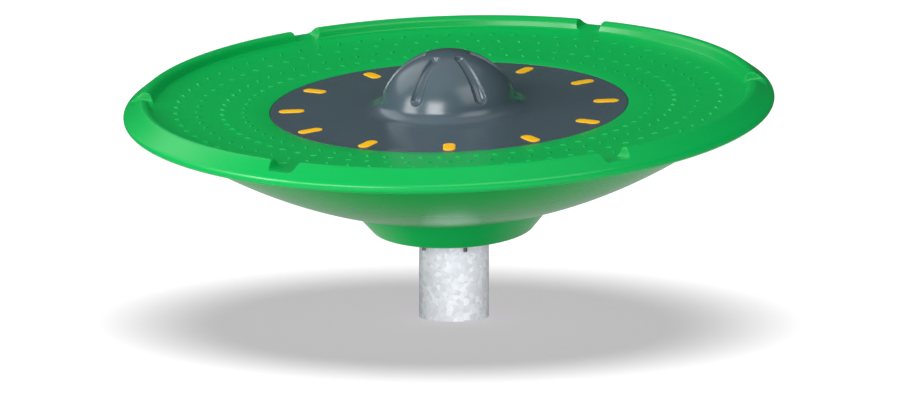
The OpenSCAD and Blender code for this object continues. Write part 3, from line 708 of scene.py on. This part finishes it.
PLATE_RADIUS, PLATE_FACE = 353.8, -1.7
PLATE_EDGE, EDGE_ROUND, EDGE_WIDTH, UNDER_BEVEL = -0.5, 0.6, 8.0, 0.5
DOME_RADIUS, DOME_HEIGHT, DOME_BASE = 135.6, 112.8, -0.3
DOME_WIDTH_POWER, DOME_HEIGHT_POWER = 1.03, 1.11
DOME_WALL = 5.0
DOME_STEPS, FLARE_STEPS, PLATE_STEPS, DOME_INSIDE_EVERY = 110, 16, 6, 3
FLARE_RADIUS, FLARE_START = 173.0, 13.0
GROOVE_TOP, GROOVE_FOOT = 49.5, 124.3
GROOVE_HALF_TOP, GROOVE_HALF_FOOT = 9.4, 12.4
GROOVE_DEPTH, GROOVE_EDGE = 8.5, 1.0

# Columns to one side of a groove's middle: those over its span, in degrees, and those beyond
GROOVE_SPAN, GROOVE_COLUMNS, COLUMNS_BETWEEN_GROOVES = 13.5, 34, 9


def dome_point(angle):
    """A rounded cap, near a half ellipse: the cosine and sine of the angle, each to its power."""
    angle = np.asarray(angle, float)
    return np.stack([
        DOME_RADIUS * np.abs(np.cos(angle)) ** DOME_WIDTH_POWER,
        DOME_BASE + DOME_HEIGHT * np.abs(np.sin(angle)) ** DOME_HEIGHT_POWER,
    ], -1)


def dome_line():
    """Plate face, flare and dome, from the rim of the plate to the apex."""
    foot, ahead = dome_point(math.radians(FLARE_START)), dome_point(math.radians(FLARE_START + 1))
    slope = (foot[0] - ahead[0]) / (ahead[1] - foot[1])
    meet = foot[0] + slope * (foot[1] - PLATE_FACE)
    cap = dome_point(np.radians(np.linspace(FLARE_START, 90, DOME_STEPS)))
    cap[-1, 0] = 0.0
    return outline(
        arc([PLATE_RADIUS - EDGE_ROUND, PLATE_EDGE - EDGE_ROUND], EDGE_ROUND, 0, 90, 4),
        straight([PLATE_RADIUS - EDGE_WIDTH, PLATE_FACE], [FLARE_RADIUS, PLATE_FACE], PLATE_STEPS),
        bend([FLARE_RADIUS, PLATE_FACE], [meet, PLATE_FACE], foot, FLARE_STEPS),
        cap,
    )


def groove_columns():
    """Angles round the dome: close together over the grooves, wider in between."""
    half = np.radians(np.linspace(0, GROOVE_SPAN, GROOVE_COLUMNS))
    return sixths(half, np.linspace(half[-1], math.pi / REPEATS, COLUMNS_BETWEEN_GROOVES)[1:])


def grooved(line, around):
    """Sinks the six grooves into the dome: round-ended finger grooves, wider towards the foot. With
    u as the way from a groove's edge to its middle, the depth is (1 - (1 - u)^3)^0.8 of the whole,
    and the distance to the edge is rounded off near zero."""
    ahead = np.gradient(line, axis=0)
    ahead /= np.hypot(*ahead.T)[:, None]
    inward = np.stack([-ahead[:, 1], ahead[:, 0]], -1)
    inward *= np.where(inward[:, 1:] > 0, -1, 1)
    length = np.r_[0, np.cumsum(np.hypot(*np.diff(line, axis=0).T))]
    on_dome = line[:, 0] < DOME_RADIUS
    place_top = np.interp(-GROOVE_TOP, -line[on_dome, 0], length[on_dome])
    place_foot = np.interp(-GROOVE_FOOT, -line[on_dome, 0], length[on_dome])
    share = np.clip((length - place_foot) / (place_top - place_foot), 0, 1)
    half = (GROOVE_HALF_FOOT + (GROOVE_HALF_TOP - GROOVE_HALF_FOOT) * share)[:, None]
    beyond = np.clip(place_foot - length, 0, None) + np.clip(length - place_top, 0, None)
    across = line[:, :1] * np.sin(from_middle(around))
    edge = half - np.hypot(across, beyond[:, None])
    inside = (edge + np.sqrt(edge**2 + GROOVE_EDGE**2)) / 2 - GROOVE_EDGE / 4
    reach = 1 - np.clip(inside / half, 0, 1)
    depth = GROOVE_DEPTH * (1 - reach**3) ** 0.8
    return sunk(turned(line, around), depth, inward, around), inward


def sunk(grid, depth, inward, around):
    """Moves the points of a turned grid by a depth along the inward directions of its outline."""
    grid = grid.copy()
    grid[..., 0] += depth * inward[:, :1] * np.cos(around)
    grid[..., 1] += depth * inward[:, :1] * np.sin(around)
    grid[..., 2] += depth * inward[:, 1:]
    return grid


def centre_plate():
    """The grey moulding: the plate's face with the grooved dome, the dome's inside and the flat
    underside."""
    around = groove_columns()
    line = dome_line()
    face, inward = grooved(line, around)
    cap = np.flatnonzero(line[:, 0] < DOME_RADIUS - DOME_WALL)[::DOME_INSIDE_EVERY]
    cap = np.unique(np.r_[cap, len(line) - 1])
    inner = sunk(face[cap], DOME_WALL, inward[cap], around)
    inner[-1] = [0, 0, DOME_BASE + DOME_HEIGHT - DOME_WALL]
    inner = inner[::-1]
    under = turned(np.array([
        [np.hypot(*inner[-1, 0, :2]), LEDGE_TOP],
        [PLATE_RADIUS - UNDER_BEVEL, LEDGE_TOP],
        [PLATE_RADIUS, LEDGE_TOP + UNDER_BEVEL],
    ]), around)
    grid = np.concatenate([face, inner, under])[::-1]
    mesh_piece(
        "centre_plate_moulding", [on_axis(grid)], "disc", GREY, ["centre_plate"])


# Marks: twelve round-ended bars with a bevelled edge

MARK_RADIUS = 311.3
MARK_LENGTH, MARK_WIDTH = 51.0, 24.0
MARK_TOP = PLATE_FACE + 0.9
MARK_COLUMNS = 40
TIE_BREAK = 1e-9

# Rows of a mark, from its foot in the plate: how far each is drawn in, and its height
MARK_ROWS = (
    (0.0, PLATE_FACE - 3.6), (0.0, MARK_TOP - 0.9), (0.25, MARK_TOP - 0.35), (0.9, MARK_TOP),
    (4.0, MARK_TOP + 0.05),
)


def marks():
    """Each mark is its stadium outline, drawn in by the bevel as it rises to a slightly raised top,
    and closed by a middle point above and below. The points right between the two round ends go
    with the outer end."""
    turn = even_columns(MARK_COLUMNS)
    half = MARK_WIDTH / 2
    ends = (MARK_LENGTH / 2 - half) * np.sign(np.cos(turn) + TIE_BREAK)
    grids = []
    for number in range(2 * REPEATS):
        at = math.radians(number * 180 / REPEATS)
        rows = []
        for inset, height in MARK_ROWS:
            keep = 1 - inset / half
            x = MARK_RADIUS + half * keep * np.cos(turn) + ends
            y = half * keep * np.sin(turn)
            rows.append(np.stack([
                x * math.cos(at) - y * math.sin(at),
                x * math.sin(at) + y * math.cos(at),
                height + 0 * x,
            ], -1))
        foot, top = (np.zeros_like(row) + row[0, 2] for row in (rows[0], rows[-1]))
        for middle in (foot, top):
            middle[:, :2] = MARK_RADIUS * math.cos(at), MARK_RADIUS * math.sin(at)
        grids.append(on_axis(np.stack([foot, *rows, top]))[::-1])
    mesh_piece(
        "mark_bars", grids, "disc", YELLOW, ["marks"],
        closed_rows=False, crease=50.0)


# Bowl and skirt

SEAM_RADIUS, SEAM_HEIGHT, SEAM_ROUND = 209.07, -190.2, 2.0
BOWL_BULGE = 22.3
BOWL_WALL = 1.15 * SHELL_WALL
BOWL_ROWS, BOWL_INSIDE_EVERY, BOWL_COLUMNS = 121, 12, 216
LIP_GAP = 0.5
FLANGE_WIDTH = 44.0
WEB_DROP = 6.0
SKIRT_FOOT, SKIRT_ROUND, SKIRT_SLOPE = -248.4, 7.0, 50.5
SKIRT_LAND, SKIRT_HOLE, HOLE_ROUND = 157.8, 112.2, 1.0
SKIRT_TOP_STEP = 4.0
SHOULDER_STEPS, SIDE_STEPS, OUTER_STEPS, LAND_STEPS, HOLE_STEPS, INNER_STEPS = 12, 8, 16, 3, 3, 6
SKIRT_COLUMNS = 180


def bowl():
    """A cone between rim and seam that sags by the parabola 4s(1 - s) times the bulge, with a
    sloping flange above and a flat one below. The wall is measured upright."""
    share = np.linspace(0, 1, BOWL_ROWS)[:, None]
    sag = np.array([0.0, 4.0]) * share * (1 - share) * BOWL_BULGE
    side = BOWL_TOP * (1 - share) + np.array([SEAM_RADIUS, SEAM_HEIGHT]) * share - sag
    inner = (side + np.array([0.0, BOWL_WALL]))[::-BOWL_INSIDE_EVERY]
    rim = LIP_RADIUS - LIP_GAP
    flange_top = SEAM_HEIGHT + SHELL_WALL
    line = outline(
        straight([rim, under_rim(rim) + SHELL_WALL], [rim, under_rim(rim)], 1),
        straight([rim, under_rim(rim)], side[0], 3),
        side,
        np.array([
            [SEAM_RADIUS - FLANGE_WIDTH, SEAM_HEIGHT], [SEAM_RADIUS - FLANGE_WIDTH, flange_top],
            [SEAM_RADIUS - FLANGE_WIDTH / 3, flange_top],
        ]),
        inner,
        np.array([[BOWL_TOP[0] + 1, under_rim(BOWL_TOP[0] + 1) + SHELL_WALL]]),
    )
    grid = turned(line[::-1], even_columns(BOWL_COLUMNS))[::-1][:, ::-1]
    mesh_piece("bowl", [on_axis(grid)], "disc", SHADED_UNDERSIDE_GREEN, ["bowl_shell"])


def skirt():
    """A leaning wall with rounded edges and a flat ring, with the flange that it hangs from
    inside."""
    low = SKIRT_FOOT + SKIRT_ROUND
    web = SEAM_HEIGHT - WEB_DROP
    slope = math.radians(SKIRT_SLOPE)

    def wall(height):
        """The place on the wall's inner face at a height."""
        drop = SEAM_HEIGHT - height
        return [SEAM_RADIUS - SHELL_WALL / math.sin(slope) - drop / math.tan(slope), height]

    outer = arc([SKIRT_LAND, low], SKIRT_ROUND, SKIRT_SLOPE - 90, -90, OUTER_STEPS)
    inset = SEAM_ROUND / math.sin(slope / 2) * math.cos(slope / 2)
    shoulder = arc(
        [SEAM_RADIUS - inset, SEAM_HEIGHT - SEAM_ROUND],
        SEAM_ROUND, 90, SKIRT_SLOPE - 90, SHOULDER_STEPS)
    line = outline(
        shoulder,
        straight(shoulder[-1], outer[0], SIDE_STEPS),
        outer,
        straight([SKIRT_LAND, SKIRT_FOOT], [SKIRT_HOLE + HOLE_ROUND, SKIRT_FOOT], LAND_STEPS),
        arc([SKIRT_HOLE + HOLE_ROUND, SKIRT_FOOT + HOLE_ROUND], HOLE_ROUND, -90, -180, HOLE_STEPS),
        straight([SKIRT_HOLE, SKIRT_FOOT + SHELL_WALL], [SKIRT_LAND, SKIRT_FOOT + SHELL_WALL], 1),
        arc([SKIRT_LAND, low], SKIRT_ROUND - SHELL_WALL, -90, SKIRT_SLOPE - 90, INNER_STEPS),
        np.array([
            wall(web - SHELL_WALL), [SEAM_RADIUS - FLANGE_WIDTH, web - SHELL_WALL],
            [SEAM_RADIUS - FLANGE_WIDTH, web], wall(web),
            [wall(SEAM_HEIGHT)[0] - SKIRT_TOP_STEP, SEAM_HEIGHT],
        ]),
    )
    grid = turned(line, even_columns(SKIRT_COLUMNS))[:, ::-1]
    mesh_piece("skirt_moulding", [on_axis(grid)], "disc", GREEN, ["skirt"])


# Post: a round tube with a square foot, cut off along the head plate

POST_RADIUS, POST_WALL, POST_BEVEL = 69.85, 5.0, 0.8
POST_COLUMNS = 128
POST_LOW, POST_MIDDLE = 40.0, 110.0
HEAD_BOTTOM = -258.0


def post():
    """Rings down the outside, over the bevelled foot and up the inside. The first and the last,
    whose height is None, lie on the underside of the head plate."""
    around = even_columns(POST_COLUMNS)
    head_middle = on_axis([0.0, 0.0, HEAD_BOTTOM])

    def ring(radius, height):
        """A ring of the tube, level at a height or along the head plate."""
        top = head_middle[2] + (radius * MM * np.sin(around) - head_middle[1]) * math.tan(LEAN)
        level = top if height is None else np.full_like(around, height * MM)
        return np.stack([radius * MM * np.cos(around), radius * MM * np.sin(around), level], -1)

    outside, inside = POST_RADIUS, POST_RADIUS - POST_WALL
    levels = [
        (outside, None), (outside, POST_MIDDLE), (outside, POST_LOW), (outside, POST_BEVEL),
        (outside - POST_BEVEL, 0.0), (inside + POST_BEVEL, 0.0), (inside, POST_BEVEL),
        (inside, POST_MIDDLE), (inside, None),
    ]
    grid = np.stack([ring(radius, height) for radius, height in levels])[:, ::-1]
    return mesh_piece("post_tube", [grid], "fixed_post", ZINC_DIP, ["post"])


photo_camera()
deck_face, deck_piece = deck()
rib_piece = ribs(deck_face)
centre_plate()
marks()
bowl()
skirt()
post_tube = post()

for node in frame["record"]["subparts"]:
    cad = frame["nodes"][node["node"]]
    cad.data.materials.clear()
    cad.data.materials.append(SLOT_FINISH[node["material_slot"]])


# Floor, surroundings and lamps

FLOOR_REACH = 60.0
FLOOR_GREY = (0.25, 0.25, 0.25, 1.0)
FLOOR_GLOW = (0.507, 0.475, 0.502, 1.0)
OVERHEAD_POWER, OVERHEAD_SPREAD = 8.8, math.radians(50)

# Surroundings: the level over the horizon, from -1 to 1, and the grey there. To either side of the
# disc the horizon dips, by the square of the way to the side.
HORIZON = (
    (-1.0, 0.0), (-0.84, 0.0), (-0.76, 0.02), (-0.68, 0.07), (-0.6, 0.2),
    (-0.5, 0.36), (-0.3, 0.5), (-0.12, 0.8), (-0.05, 0.6), (0.01, 0.03),
)
HORIZON_DIP = 1.6

# Lamps: name, degrees around and above, width and height in metres, and power in watts
DECK_LAMPS = (
    ("deck_left_light", -68, 14, (2.0, 1.7), 62),
    ("deck_side_light", -105, 24, (4.5, 3.2), 36),
    ("deck_front_light", -33, 14, (2.3, 1.4), 110),
    ("deck_back_light", -135, 42, (3.0, 2.2), 20),
    ("deck_right_light", 18, 45, (4.5, 2.4), 97),
)
DECK_TOP_LAMP = ("deck_top_light", 180, 78, (7.0, 7.0), 162)
DECK_GLINT_LAMP = ("deck_glint_light", -60, 12, (0.9, 0.7), 70)
OTHER_LAMPS = (
    ("left_light", -68, 16, (1.9, 2.3), 122),
    ("front_light", -24, 16, (2.2, 2.3), 200),
    ("back_light", -122, 40, (3.8, 2.8), 58),
    ("right_light", 46, 42, (3.3, 2.8), 74),
    ("top_light", 0, 86, (7.0, 7.0), 88),
)
POST_LAMP = ("post_light", 0, 8, (6.0, 1.6), 222)


def floor():
    """A plain pale floor, far wider than the view, which glows a little like a light table."""
    f = Finish("pale_floor", Specular_IOR_Level=0.0, Roughness=1.0, Emission_Strength=1.0)
    f.feed(Base_Color=FLOOR_GREY, Emission_Color=FLOOR_GLOW)
    mesh = bpy.data.meshes.new("floor")
    far = FLOOR_REACH
    square = [(-far, -far, 0), (far, -far, 0), (far, far, 0), (-far, far, 0)]
    mesh.from_pydata(square, [], [(0, 1, 2, 3)])
    mesh.materials.append(f.material)
    ground = bpy.data.objects.new("floor", mesh)
    bpy.context.scene.collection.objects.link(ground)
    ground.visible_glossy = False
    return ground


def surroundings():
    """Dark surroundings with a pale band under the horizon, turned with the camera."""
    world = bpy.data.worlds.new("studio")
    world.use_nodes = True
    sky = NodeMaker(world.node_tree)
    facing = sky.node("Mapping", {}, {
        "Vector": sky.node("TexCoord", out="Generated"), "Rotation": (0.0, 0.0, -CAMERA_AROUND),
    })
    aside = sky.node("SeparateXYZ", {}, {0: facing}, "X")
    above = sky.node("SeparateXYZ", {}, {0: facing}, "Z")
    level = aside * aside * HORIZON_DIP + above
    stops = [((place + 1) / 2, grey) for place, grey in HORIZON]
    grey = sky.ramp(level * 0.5 + 0.5, *stops)
    sky.tree.links.new(grey.socket, sky.tree.nodes["Background"].inputs["Color"])
    bpy.context.scene.world = world


def studio(ground, tube, deck_pieces):
    """Light for each kind of surface: a broad one from overhead that only the floor takes, soft
    lamps for the deck, others for the rest of the spinner, and one for the post."""
    sun = bpy.data.lights.new("overhead_light", "SUN")
    sun.energy, sun.angle = OVERHEAD_POWER, OVERHEAD_SPREAD
    overhead = bpy.data.objects.new("overhead_light", sun)
    overhead.light_linking.receiver_collection = receivers("floor_only", [ground], "INCLUDE")
    bpy.context.scene.collection.objects.link(overhead)
    deck_only = receivers("deck_only", deck_pieces, "INCLUDE")
    for lamp in DECK_LAMPS:
        soft_light(*lamp, deck_only)
    soft_light(*DECK_TOP_LAMP, deck_only, glints=False)
    soft_light(*DECK_GLINT_LAMP, deck_only, tints=False)
    others = receivers("all_but_floor_post_and_deck", [ground, tube, *deck_pieces], "EXCLUDE")
    for lamp in OTHER_LAMPS:
        soft_light(*lamp, others)
    soft_light(*POST_LAMP, receivers("post_only", [tube], "INCLUDE"))
    bpy.context.scene.view_settings.view_transform = "Standard"


surroundings()
studio(floor(), post_tube, [deck_piece, rib_piece])
